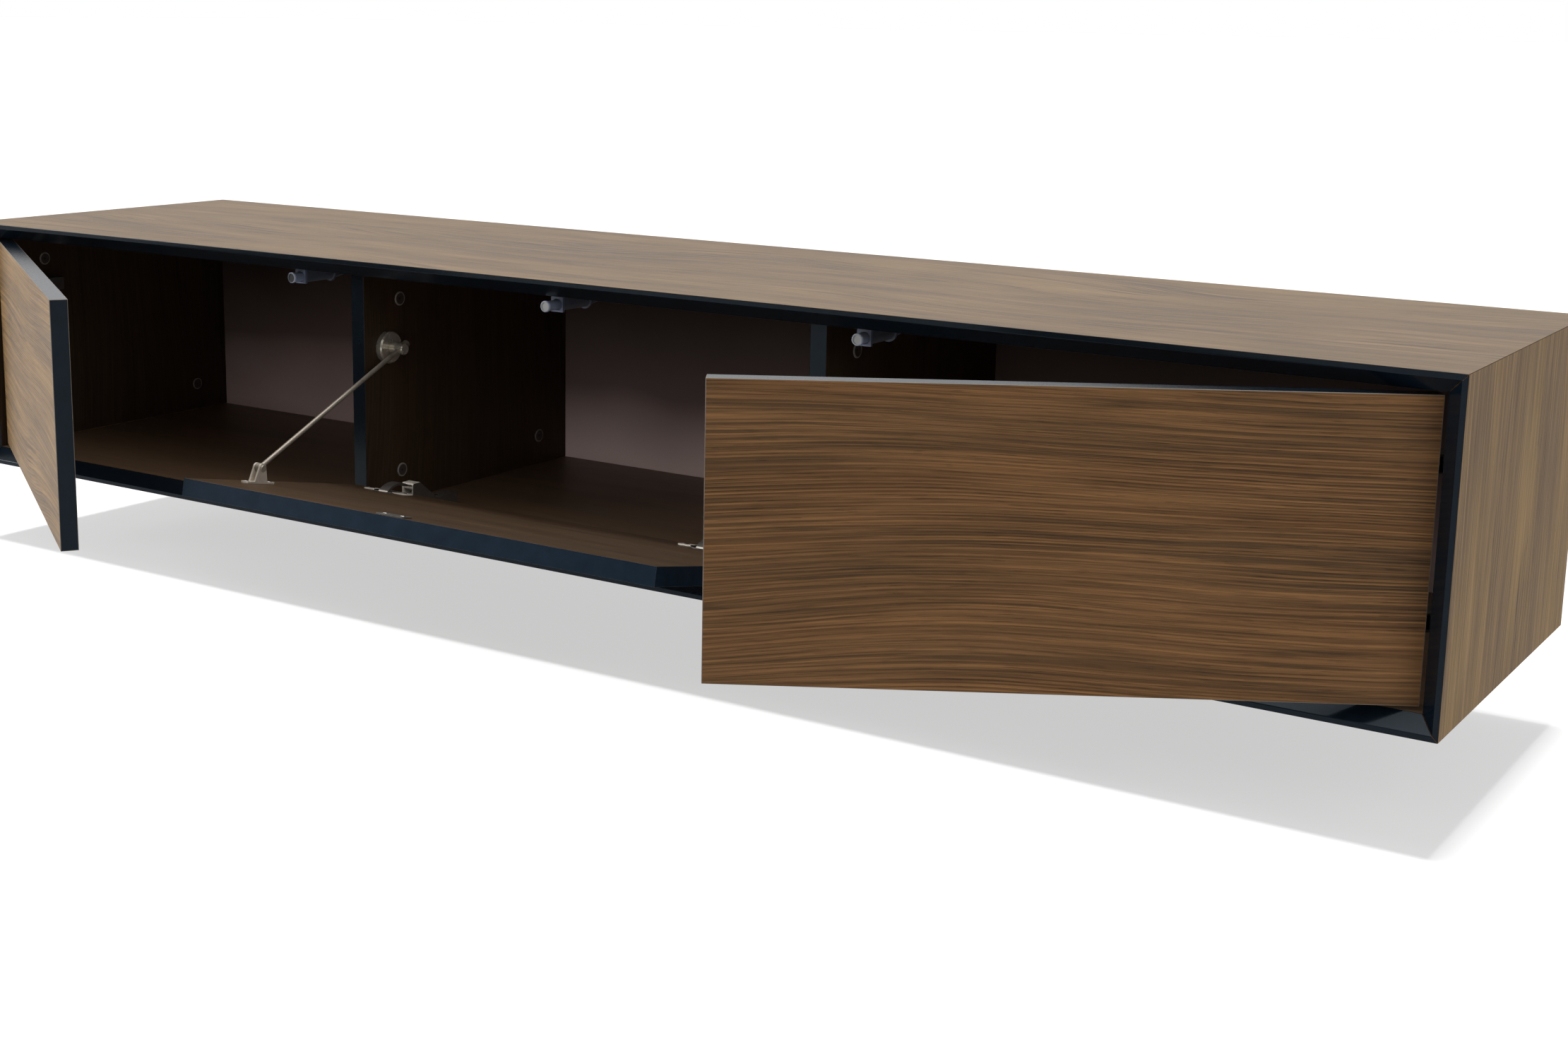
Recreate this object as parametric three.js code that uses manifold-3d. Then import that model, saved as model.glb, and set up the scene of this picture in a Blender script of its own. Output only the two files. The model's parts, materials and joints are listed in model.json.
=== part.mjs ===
// A floating media console: a mitred box on the wall, with a door at each end and a flap between
// them that drops open on a sliding-rod stay. Push latches under the top board let the fronts go.
// Millimetres. X runs along the console, the fronts face -Y, and Z is up.
import * as THREE from 'three';
import { mergeVertices } from 'three/addons/utils/BufferGeometryUtils.js';
import Module from 'manifold-3d';

const wasm = await Module();
wasm.setup();

// The box
const width = 1800;
const depth = 420;
const height = 300;
const board = 18;
const lip = 5;
const bevelDepth = 15;
const mitreGap = 0.2;
const backRecess = 17;
const backThickness = 3;
const grooveDepth = 8;
const backEdgePlay = 1;
const railHeight = 70;
const lowerRailHeight = 40;
const railScrewRadius = 3;
const railScrewSpan = 400;
const partitionBehindFronts = 3;

// The clearance that meeting pieces keep, and how far a cutting tool runs past what it cuts
const seat = 0.3;
const overrun = 2;

// The fronts
const frontSetback = 1;
const sideGap = 3;
const endGap = 3.5;
const frontGap = 3;
const pivotInset = 9;
const leftDoorAngle = 33.5;
const rightDoorAngle = 30.5;
const doorOpenLimit = 105;
const flapAngle = 78.5;

// The flap's hinges and all three latches stand this far left of where symmetry would put them
const fittingsShift = 17.5;

// The cup hinges
const cupCentre = 22.5;
const cupRadius = 17.2;
const cupDepth = 12;
const cupWall = 1.4;
const cupPinRadius = 2.2;
const flangeLength = 60;
const flangeWidth = 17;
const flangeThickness = 1.2;
const flangeScrewSpacing = 46;
const flangeScrewRadius = 2.2;
const doorHingeInset = 62;
const flapHingeInset = 84.5;
const plateSetback = 37;
const plateThickness = 2;
const plateLength = 52;
const plateWidth = 12;
const wingSpan = 44;
const wingWidth = 13;
const wingScrewSpacing = 32;
const wingScrewRadius = 2.5;
const armWidth = 16;
const armWall = 1.4;
const armRoof = 15;
const armNoseHeight = 37;
const armNoseDepth = 14;
const armNoseLength = 12;
const armBehindFront = 3.5;
const armPinRadius = 1.7;
const linkRadius = 28;
const linkThickness = 2.4;
const linkEndAngle = 110;
const cupPinAngle = 25;
const armPinAngle = 52;

// The push latches and their strike plates. A side latch's plunger keeps pace with its door, so it
// has further to go than the flap's.
const latchBelowTop = 11.5;
const latchFromPartition = 67;
const latchBehindFronts = 2.3;
const latchLength = 96;
const latchBarrelRadius = 7;
const latchCollar = 15;
const latchCollarThickness = 3;
const latchRingAt = 46;
const latchRingRadius = 9;
const latchRingThickness = 2.4;
const latchTailShare = 0.6;
const latchEarSpan = 34;
const latchEarLength = 13;
const latchEarThickness = 2;
const latchEarAt = 6;
const latchScrewSpacing = 24;
const latchScrewRadius = 1.9;
const flapLatchTravel = 20;
const doorLatchTravel = 45;
const plungerRadius = 5.2;
const plungerHold = 8;
const tipRadius = 5.8;
const tipLength = 3;
const tipCrown = 0.8;
const tipRecess = 0.8;
const tipRecessRadius = 4.3;
const strikeLength = 35;
const strikeWidth = 14;
const strikeThickness = 1.2;
const strikeEdge = 2;
const strikeScrewSpacing = 22;
const strikeScrewRadius = 1.8;

// The flap's stay. The disc on the partition and the pin on the flap are equally far from the
// flap's hinge axis, so the rod turns half as much as the flap and always points at the guide.
const stayReach = 175;
const discBehindFronts = 39;
const stayPinHeight = 16.5;
const discRadius = 18;
const discThickness = 8;
const discChamfer = 1.5;
const postRadius = 3;
const postLength = 7;
const guideRadius = 6.5;
const guideLength = 19;
const guideChamfer = 1;
const rodOffset = 20;
const rodRadius = 2.5;
const collarRadius = 4.2;
const collarLength = 5;
const collarPlay = 0.5;
const eyeRadius = 5;
const eyeThickness = 5;
const stayPinRadius = 2;
const stayPinHeadRadius = 3.6;
const stayPinHeadThickness = 1.6;
const earThickness = 2;
const earFoot = 19;
const bracketLength = 44;
const bracketThickness = 2;
const bracketScrewSpacing = 33;
const bracketScrewRadius = 2;

// The cam fittings' covers
const camFromFront = 58;
const camFromBack = 55;
const camAboveFloor = 35;
const camBelowTop = 34;
const camHoleRadius = 7;
const camHoleDepth = 12.5;
const camCapRadius = 7.9;
const camCapThickness = 1.2;
const camCapChamfer = 0.4;
const camSpigotDepth = 4;

// Smoothness of round forms, in facets to the turn
const fineFacets = 24;
const facets = 20;
const smallFacets = 12;
const cornerFacets = 3;

// Places worked out from the sizes above
const frontFace = bevelDepth + frontSetback;
const frontBack = frontFace + board;
const partitionFront = frontBack + partitionBehindFronts;
const grooveFront = depth - backRecess - backThickness - 2 * seat;
const grooveBack = depth - backRecess;
const backFront = grooveFront + seat;
const backRear = backFront + backThickness;
const innerTop = height - board;
const leftEdge = board + sideGap;
const rightEdge = width - board - sideGap;
const frontWidth = (rightEdge - leftEdge - 2 * frontGap) / 3;
const frontBottom = board + endGap;
const frontTop = innerTop - endGap;
const frontHeight = frontTop - frontBottom;
const flapLeft = leftEdge + frontWidth + frontGap;
const flapRight = flapLeft + frontWidth;
const partitionCentres = [flapLeft - frontGap / 2, flapRight + frontGap / 2];
const railCentre = innerTop - railHeight / 2;
const halfTurn = Math.PI;
const quarterTurn = Math.PI / 2;
const radians = THREE.MathUtils.degToRad;

// The stay's places in the plane of the rod, as [y, z]
const flapPivot = [frontFace, frontBottom + pivotInset];
const discFromPivot = discBehindFronts + board;
const discCentre = [
  flapPivot[0] + discFromPivot,
  flapPivot[1] + Math.sqrt(stayReach ** 2 - discFromPivot ** 2),
];
const pinFromPivot = board + stayPinHeight;
const pinClosed = [
  flapPivot[0] + pinFromPivot,
  flapPivot[1] + Math.sqrt(stayReach ** 2 - pinFromPivot ** 2),
];
const pinOpenAngle = Math.atan2(pinClosed[1] - flapPivot[1], pinFromPivot) + radians(flapAngle);
const pinOpen = [
  flapPivot[0] + stayReach * Math.cos(pinOpenAngle),
  flapPivot[1] + stayReach * Math.sin(pinOpenAngle),
];
const rodSpan = Math.hypot(discCentre[0] - pinOpen[0], discCentre[1] - pinOpen[1]);
const rodAngle = Math.atan2(discCentre[1] - pinOpen[1], discCentre[0] - pinOpen[0]);
const discFace = partitionCentres[0] + board / 2;
const rodX = discFace + rodOffset;

const finish = {
  veneer: { color: 0x7d6851, roughness: 0.5, metalness: 0 },
  back: { color: 0x6a5f62, roughness: 0.7, metalness: 0 },
  rail: { color: 0xb59a72, roughness: 0.8, metalness: 0 },
  nickel: { color: 0xb9b4aa, roughness: 0.3, metalness: 0.9 },
  chrome: { color: 0xc9c9c9, roughness: 0.12, metalness: 1 },
  housing: { color: 0x23272b, roughness: 0.55, metalness: 0 },
  plunger: { color: 0x7e8ba0, roughness: 0.35, metalness: 0 },
  cover: { color: 0x3a3430, roughness: 0.6, metalness: 0 },
};

// A closed geometry as a solid that can be joined and cut
function solid(geometry) {
  const bare = geometry.clone();
  bare.deleteAttribute('normal');
  bare.deleteAttribute('uv');
  const merged = mergeVertices(bare);
  const vertProperties = new Float32Array(merged.attributes.position.array);
  const triVerts = new Uint32Array(merged.index.array);
  return new wasm.Manifold(new wasm.Mesh({ numProp: 3, vertProperties, triVerts }));
}

// A solid as a geometry again
function geometryOf(body) {
  const mesh = body.getMesh();
  const geometry = new THREE.BufferGeometry();
  geometry.setAttribute('position', new THREE.BufferAttribute(mesh.vertProperties, 3));
  geometry.setIndex(new THREE.BufferAttribute(mesh.triVerts, 1));
  return geometry;
}

function join(...geometries) {
  return geometryOf(geometries.map(solid).reduce((whole, piece) => whole.add(piece)));
}

function cut(geometry, ...tools) {
  return geometryOf(tools.map(solid).reduce((whole, tool) => whole.subtract(tool), solid(geometry)));
}

function block(x0, x1, y0, y1, z0, z1) {
  const geometry = new THREE.BoxGeometry(x1 - x0, y1 - y0, z1 - z0);
  return geometry.translate((x0 + x1) / 2, (y0 + y1) / 2, (z0 + z1) / 2);
}

// A round bar from one place on its axis to another; the axis runs through the point `at`
function bar(axis, radius, from, to, at, sides = facets) {
  const geometry = new THREE.CylinderGeometry(radius, radius, to - from, sides);
  const middle = (from + to) / 2;
  if (axis === 'x') {
    return geometry.rotateZ(-quarterTurn).translate(middle, at[0], at[1]);
  }
  if (axis === 'y') {
    return geometry.translate(at[0], middle, at[1]);
  }
  return geometry.rotateX(quarterTurn).translate(at[0], at[1], middle);
}

// A turned piece about the X axis, from a list of [place along X, radius] that ends on the axis
function turned(profile, sides = facets) {
  const points = profile.map(([along, radius]) => new THREE.Vector2(radius, along));
  return new THREE.LatheGeometry(points, sides).rotateZ(-quarterTurn);
}

// An outline in the XY plane with rounded corners, pushed up in Z
function roundedPlate(length, breadth, corner, thickness) {
  const x = length / 2;
  const y = breadth / 2;
  const outline = new THREE.Shape();
  outline.moveTo(corner - x, -y);
  outline.lineTo(x - corner, -y);
  outline.absarc(x - corner, corner - y, corner, -quarterTurn, 0);
  outline.lineTo(x, y - corner);
  outline.absarc(x - corner, y - corner, corner, 0, quarterTurn);
  outline.lineTo(corner - x, y);
  outline.absarc(corner - x, y - corner, corner, quarterTurn, halfTurn);
  outline.lineTo(-x, corner - y);
  outline.absarc(corner - x, corner - y, corner, halfTurn, halfTurn + quarterTurn);
  return new THREE.ExtrudeGeometry(outline, { depth: thickness, bevelEnabled: false, curveSegments: cornerFacets });
}

function outlineOf(points) {
  return new THREE.Shape(points.map(([x, y]) => new THREE.Vector2(x, y)));
}

function extruded(outline, thickness) {
  return new THREE.ExtrudeGeometry(outline, { depth: thickness, bevelEnabled: false, curveSegments: facets / 2 });
}

function addMesh(parent, name, geometry, look) {
  const mesh = new THREE.Mesh(geometry, new THREE.MeshStandardMaterial(look));
  mesh.name = name;
  parent.add(mesh);
  return mesh;
}

// A group turned about an axis at `pivot`, whose children keep the places they have when closed
function turnedGroup(parent, pivot, axis, angle) {
  const turning = new THREE.Group();
  turning.position.set(...pivot);
  turning.rotation[axis] = angle;
  const held = new THREE.Group();
  held.position.set(...pivot.map((place) => -place));
  turning.add(held);
  parent.add(turning);
  return held;
}

// One board of the mitred box. `place` turns a place along the board, one across its depth and one
// below its outer face into a point; the mitres shorten the board by as much as the last of them.
function mitredBoard(length, place) {
  const profile = [
    [0, 0],
    [depth, 0],
    [depth, board],
    [grooveBack, board],
    [grooveBack, board - grooveDepth],
    [grooveFront, board - grooveDepth],
    [grooveFront, board],
    [bevelDepth, board],
    [0, lip],
  ];
  const count = profile.length;
  const near = profile.map(([y, t]) => place(t + mitreGap, y, t));
  const far = profile.map(([y, t]) => place(length - t - mitreGap, y, t));
  const points = [...near, ...far];
  const faces = THREE.ShapeUtils.triangulateShape(profile.map(([y, t]) => new THREE.Vector2(y, t)), []);
  const triangles = [];
  for (const [a, b, c] of faces) {
    triangles.push(a, b, c, count + a, count + c, count + b);
  }
  for (let i = 0; i < count; i += 1) {
    const next = (i + 1) % count;
    triangles.push(i, count + i, count + next, i, count + next, next);
  }
  const corner = (i) => new THREE.Vector3(...points[i]);
  let volume = 0;
  for (let i = 0; i < triangles.length; i += 3) {
    const [a, b, c] = triangles.slice(i, i + 3).map(corner);
    volume += a.dot(b.cross(c));
  }
  if (volume < 0) {
    triangles.reverse();
  }
  const geometry = new THREE.BufferGeometry();
  geometry.setAttribute('position', new THREE.Float32BufferAttribute(points.flat(), 3));
  geometry.setIndex(triangles);
  return geometry;
}

// The four cam fittings of an upright board whose upper ones are at a height, as [y, z]
function camPlaces(upper) {
  return [partitionFront + camFromFront, backFront - camFromBack].flatMap((y) => [
    [y, board + camAboveFloor],
    [y, upper],
  ]);
}

// The partitions' upper fittings stand midway between the stay's disc and the top board
const sideCams = camPlaces(innerTop - camBelowTop);
const partitionCams = camPlaces((discCentre[1] + discRadius + innerTop) / 2);

// An upright board with its cam holes, in the face at `x` that looks along +X (side 1) or -X (-1)
function withCamHoles(geometry, cams, x, side) {
  const holes = cams.map((place) => {
    const ends = [x - side * camHoleDepth, x + side * overrun];
    return bar('x', camHoleRadius, Math.min(...ends), Math.max(...ends), place, smallFacets);
  });
  return cut(geometry, ...holes);
}

function addCamCovers(parent, boardName, cams, x, side) {
  const profile = [
    [-camSpigotDepth, 0],
    [-camSpigotDepth, camHoleRadius - seat],
    [seat, camHoleRadius - seat],
    [seat, camCapRadius],
    [seat + camCapThickness - camCapChamfer, camCapRadius],
    [seat + camCapThickness, camCapRadius - camCapChamfer],
    [seat + camCapThickness, 0],
  ];
  cams.forEach(([y, z], i) => {
    const cover = addMesh(parent, `cam_cover_${boardName}_${i + 1}`, turned(profile, smallFacets), finish.cover);
    cover.position.set(x, y, z);
    cover.rotation.z = side > 0 ? 0 : halfTurn;
  });
}

function addCarcass(parent) {
  const lengthwise = (z) => (u, y, t) => [u, y, z(t)];
  const upright = (x) => (u, y, t) => [x(t), y, u];
  addMesh(parent, 'top_panel', mitredBoard(width, lengthwise((t) => height - t)), finish.veneer);
  addMesh(parent, 'bottom_panel', mitredBoard(width, lengthwise((t) => t)), finish.veneer);
  const left = withCamHoles(mitredBoard(height, upright((t) => t)), sideCams, board, 1);
  const right = withCamHoles(mitredBoard(height, upright((t) => width - t)), sideCams, width - board, -1);
  addMesh(parent, 'side_panel_left', left, finish.veneer);
  addMesh(parent, 'side_panel_right', right, finish.veneer);
  addCamCovers(parent, 'side_left', sideCams, board, 1);
  addCamCovers(parent, 'side_right', sideCams, width - board, -1);
  ['left', 'right'].forEach((side, i) => {
    const x0 = partitionCentres[i] - board / 2;
    const x1 = partitionCentres[i] + board / 2;
    const partition = block(x0, x1, partitionFront, grooveFront, board, innerTop);
    addMesh(parent, `partition_${side}`, withCamHoles(partition, partitionCams, x1, 1), finish.veneer);
    addCamCovers(parent, `partition_${side}`, partitionCams, x1, 1);
  });
  const reach = board - grooveDepth + backEdgePlay;
  const back = block(reach, width - reach, backFront, backRear, reach, height - reach);
  addMesh(parent, 'back_panel', back, finish.back);
}

// The rails behind the back panel: the upper one takes the screws into the wall
function addRails(parent) {
  const x0 = board + seat;
  const x1 = width - board - seat;
  const upper = block(x0, x1, backRear + seat, depth, innerTop - railHeight, innerTop);
  const screwHoles = [-2, -1, 1, 2].map((step) => {
    const at = [width / 2 + (step - Math.sign(step) / 2) * railScrewSpan, railCentre];
    return bar('y', railScrewRadius, backRear - overrun, depth + overrun, at, smallFacets);
  });
  addMesh(parent, 'hanging_rail', cut(upper, ...screwHoles), finish.rail);
  const lower = block(x0, x1, backRear + seat, depth, board, board + lowerRailHeight);
  addMesh(parent, 'lower_rail', lower, finish.rail);
}

// The cup in the front's back: X runs from the front's hinge edge, Y from its face into the box
function hingeCup() {
  const mouth = board + seat;
  const bottom = board - cupDepth;
  const body = bar('y', cupRadius, bottom, mouth + flangeThickness / 2, [cupCentre, 0], fineFacets);
  const flange = roundedPlate(flangeWidth, flangeLength, flangeWidth / 4, flangeThickness);
  flange.rotateX(-quarterTurn).translate(cupCentre, mouth, 0);
  const inside = bar('y', cupRadius - cupWall, bottom + cupWall, mouth + overrun, [cupCentre, 0], fineFacets);
  const screwHoles = [-1, 1].map((side) => {
    const at = [cupCentre, (side * flangeScrewSpacing) / 2];
    return bar('y', flangeScrewRadius, mouth - overrun, mouth + overrun, at, smallFacets);
  });
  const shell = cut(join(body, flange), inside, ...screwHoles);
  const pinAt = aroundPivot(linkRadius, cupPinAngle);
  const half = cupRadius - cupWall / 2;
  const pinHalf = Math.sqrt(half ** 2 - (pinAt[0] + cupPinRadius - cupCentre) ** 2);
  return join(shell, curvedLink(), bar('z', cupPinRadius, -pinHalf, pinHalf, pinAt, smallFacets));
}

// A place in the hinge's frame at a distance and an angle from the axis that the front turns about
function aroundPivot(radius, angle) {
  return [pivotInset + radius * Math.cos(radians(angle)), radius * Math.sin(radians(angle))];
}

// The link bends round the front's edge, from the bottom of the cup to between the arm's cheeks
function curvedLink() {
  const from = Math.asin((board - cupDepth + cupWall / 2) / linkRadius);
  const to = radians(linkEndAngle);
  const band = new THREE.Shape();
  band.absarc(0, 0, linkRadius + linkThickness / 2, from, to, false);
  band.absarc(0, 0, linkRadius - linkThickness / 2, to, from, true);
  const breadth = armWidth - 2 * (armWall + seat);
  return extruded(band, breadth).translate(pivotInset, 0, -breadth / 2);
}

// Heights in the arm and plate are measured from the board that they are screwed to
function hingePlate(edgeGap) {
  const middle = board + plateSetback;
  const base = extruded(
    outlineOf([
      [middle - wingWidth / 2, -wingSpan / 2],
      [middle + wingWidth / 2, -wingSpan / 2],
      [middle + wingWidth / 2, -plateWidth / 2],
      [middle + plateLength - wingWidth, -plateWidth / 2],
      [middle + plateLength - wingWidth, plateWidth / 2],
      [middle + wingWidth / 2, plateWidth / 2],
      [middle + wingWidth / 2, wingSpan / 2],
      [middle - wingWidth / 2, wingSpan / 2],
    ]),
    plateThickness,
  );
  const boss = block(
    middle - wingWidth / 2,
    middle + plateLength - wingWidth,
    -plateWidth / 2,
    plateWidth / 2,
    plateThickness / 2,
    armRoof - armWall - seat,
  );
  const screwHoles = [-1, 1].map((side) => {
    const at = [middle, (side * wingScrewSpacing) / 2];
    return bar('z', wingScrewRadius, -overrun, plateThickness + overrun, at, smallFacets);
  });
  const plate = cut(join(base, boss), ...screwHoles);
  return plate.applyMatrix4(ontoBoard(edgeGap));
}

// Turns a piece drawn as [depth behind the face, along the hinge axis, height off the board] into
// the hinge's frame
function ontoBoard(edgeGap) {
  const turn = new THREE.Matrix4().makeBasis(
    new THREE.Vector3(0, 1, 0),
    new THREE.Vector3(0, 0, 1),
    new THREE.Vector3(1, 0, 0),
  );
  return new THREE.Matrix4().makeTranslation(seat - edgeGap, 0, 0).multiply(turn);
}

// The cranked arm: a channel that is open towards the board and at its nose, where two pins cross
// it. The front's link runs under the first.
function hingeArm(edgeGap) {
  const nose = board + armBehindFront;
  const rear = board + plateSetback + plateLength - wingWidth + armWall;
  const crankStart = board + plateSetback + wingWidth / 2;
  const side = [
    [rear, plateThickness + armWall],
    [rear, armRoof],
    [crankStart, armRoof],
    [nose + armNoseLength, armNoseHeight],
    [nose + armWall, armNoseHeight],
    [nose, armNoseHeight - armWall],
    [nose, armNoseHeight - armNoseDepth],
    [nose + armNoseLength / 2, armNoseHeight - armNoseDepth],
    [board + plateSetback - wingWidth, plateThickness + armWall],
  ];
  const inner = [
    [rear - armWall, -overrun],
    [rear - armWall, armRoof - armWall],
    [crankStart - armWall / 2, armRoof - armWall],
    [nose + armNoseLength - armWall / 2, armNoseHeight - armWall],
    [nose - overrun, armNoseHeight - armWall],
    [nose - overrun, -overrun],
  ];
  const outer = extruded(outlineOf(side), armWidth);
  const hollow = extruded(outlineOf(inner), armWidth - 2 * armWall).translate(0, 0, armWall);
  const channel = cut(outer, hollow);
  const besideLink = linkRadius + linkThickness / 2 + seat + armPinRadius;
  const [linkPinAcross, linkPinDepth] = aroundPivot(besideLink, armPinAngle);
  const pins = [
    [linkPinDepth, linkPinAcross + edgeGap - seat],
    [nose + armNoseLength, armNoseHeight - armNoseDepth],
  ].map((at) => bar('z', armPinRadius, armWall / 2, armWidth - armWall / 2, at, smallFacets));
  const arm = join(channel, ...pins);
  arm.translate(0, 0, -armWidth / 2).rotateX(quarterTurn);
  return arm.applyMatrix4(ontoBoard(edgeGap));
}

// A hinge: its cup goes with the front, its arm and plate stay on the box. `at` is where the
// front's hinge edge meets its face, and `turn` is the hinge frame's turn about Y.
function addHinge(box, front, name, at, turn, edgeGap) {
  const pieces = [
    [front, `hinge_cup_${name}`, hingeCup()],
    [box, `hinge_arm_${name}`, hingeArm(edgeGap)],
    [box, `hinge_plate_${name}`, hingePlate(edgeGap)],
  ];
  for (const [parent, meshName, geometry] of pieces) {
    const mesh = addMesh(parent, meshName, geometry, finish.nickel);
    mesh.position.set(...at);
    mesh.rotation.y = turn;
  }
}

// A front panel with the holes that its cups sit in, each at [x, z]
function frontPanel(x0, x1, cups) {
  const panel = block(x0, x1, frontFace, frontBack, frontBottom, frontTop);
  const bottom = frontBack - cupDepth - seat;
  const holes = cups.map((at) => bar('y', cupRadius + seat, bottom, frontBack + overrun, at, fineFacets));
  return cut(panel, ...holes);
}

// A strike plate on a front's back, across from its latch
function addStrike(front, name, x) {
  const plate = roundedPlate(strikeLength, strikeWidth, strikeEdge, strikeThickness);
  const screwHoles = [-1, 1].map((side) => {
    const at = [(side * strikeScrewSpacing) / 2, 0];
    return bar('z', strikeScrewRadius, -overrun, strikeThickness + overrun, at, smallFacets);
  });
  const strike = addMesh(front, `strike_plate_${name}`, cut(plate, ...screwHoles), finish.nickel);
  strike.position.set(x, frontBack + seat + strikeThickness, frontTop - strikeEdge - strikeWidth / 2);
  strike.rotation.x = quarterTurn;
}

// A latch housing's section across its axis: half round below, and straight-sided up to the board
function archOutline(radius, top) {
  const outline = new THREE.Shape();
  outline.moveTo(-radius, top);
  outline.lineTo(-radius, 0);
  outline.absarc(0, 0, radius, halfTurn, 2 * halfTurn, false);
  outline.lineTo(radius, top);
  return outline;
}

// An extruded length that narrows evenly towards its far end, about the board that it hangs from
function tapered(geometry, length, endShare, top) {
  const place = geometry.attributes.position;
  for (let i = 0; i < place.count; i += 1) {
    const share = 1 - (1 - endShare) * (place.getZ(i) / length);
    place.setXY(i, place.getX(i) * share, top + (place.getY(i) - top) * share);
  }
  return geometry;
}

// A push latch, with its plunger standing `out` of its pressed place
function addLatch(parent, name, x, out) {
  const z = innerTop - latchBelowTop;
  const top = latchBelowTop - seat;
  const housingFront = frontBack + latchBehindFronts;
  const pressedTip = frontBack + seat + strikeThickness + seat;
  const plungerEnd = pressedTip + tipLength + doorLatchTravel + plungerHold;
  const half = latchCollar / 2;
  const collar = block(-half, half, -half, half, 0, latchCollarThickness);
  const barrel = extruded(archOutline(latchBarrelRadius, top), latchRingAt + latchRingThickness);
  const ring = extruded(archOutline(latchRingRadius, top), latchRingThickness).translate(0, 0, latchRingAt);
  const tailLength = latchLength - latchRingAt;
  const tail = extruded(archOutline(latchBarrelRadius, top), tailLength);
  tapered(tail, tailLength, latchTailShare, top).translate(0, 0, latchRingAt);
  const ears = roundedPlate(latchEarSpan, latchEarLength, latchEarLength / 3, latchEarThickness);
  ears.rotateX(quarterTurn).translate(0, top, latchEarAt + latchEarLength / 2);
  const screwHoles = [-1, 1].map((side) => {
    const at = [(side * latchScrewSpacing) / 2, latchEarAt + latchEarLength / 2];
    return bar('y', latchScrewRadius, top - latchEarThickness - overrun, top + overrun, at, smallFacets);
  });
  const bore = bar('z', plungerRadius + seat, -overrun, plungerEnd + seat - housingFront, [0, 0], facets);
  const mouth = bar('z', tipRadius + seat, -overrun, tipLength, [0, 0], facets);
  const body = join(collar, barrel, ring, tail, ears);
  const housing = addMesh(parent, `latch_housing_${name}`, cut(body, bore, mouth, ...screwHoles), finish.housing);
  housing.position.set(x, housingFront, z);
  housing.rotation.set(-quarterTurn, halfTurn, 0, 'YXZ');
  const profile = [
    [tipRecess, 0],
    [tipRecess, tipRecessRadius],
    [0, tipRecessRadius],
    [0, tipRadius - tipCrown],
    [tipCrown, tipRadius],
    [tipLength, tipRadius],
    [tipLength, plungerRadius],
    [plungerEnd - pressedTip, plungerRadius],
    [plungerEnd - pressedTip, 0],
  ];
  const plunger = addMesh(parent, `latch_plunger_${name}`, turned(profile, facets), finish.plunger);
  plunger.position.set(x, pressedTip - out, z);
  plunger.rotation.z = quarterTurn;
}

// The disc is screwed to the partition, and the guide turns on its post
function addStayDisc(parent) {
  const profile = [
    [seat, 0],
    [seat, discRadius],
    [discThickness - discChamfer, discRadius],
    [discThickness, discRadius - discChamfer],
    [discThickness, postRadius],
    [discThickness + postLength, postRadius],
    [discThickness + postLength, 0],
  ];
  const disc = addMesh(parent, 'stay_disc', turned(profile, fineFacets), finish.chrome);
  disc.position.set(discFace, ...discCentre);
}

function addStayGuide(parent) {
  const start = discThickness + seat;
  const end = start + guideLength;
  const profile = [
    [start, 0],
    [start, guideRadius],
    [end - guideChamfer, guideRadius],
    [end, guideRadius - guideChamfer],
    [end, 0],
  ];
  const postHole = bar('x', postRadius + seat, start - overrun, discThickness + postLength + seat, [0, 0]);
  const rodHole = bar('y', rodRadius + seat, -guideRadius - overrun, guideRadius + overrun, [rodOffset, 0]);
  const barrel = cut(turned(profile, facets), postHole, rodHole);
  const guide = addMesh(parent, 'stay_guide', barrel, finish.chrome);
  guide.position.set(discFace, ...discCentre);
  guide.rotation.x = rodAngle;
}

// The rod hangs on the bracket's pin by its eye; its collar stops the flap when it is open
function addStayRod(parent) {
  const collarStart = rodSpan + guideRadius + collarPlay;
  const shank = bar('y', rodRadius, eyeRadius / 2, collarStart + collarLength / 2, [0, 0], smallFacets);
  const collar = bar('y', collarRadius, collarStart, collarStart + collarLength, [0, 0], smallFacets);
  const eye = bar('x', eyeRadius, -eyeThickness / 2, eyeThickness / 2, [0, 0], facets);
  const eyeHole = bar('x', stayPinRadius + seat, -eyeThickness, eyeThickness, [0, 0], smallFacets);
  const rod = addMesh(parent, 'stay_rod', join(cut(join(eye, shank), eyeHole), collar), finish.chrome);
  rod.position.set(rodX, ...pinOpen);
  rod.rotation.x = rodAngle;
}

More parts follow.
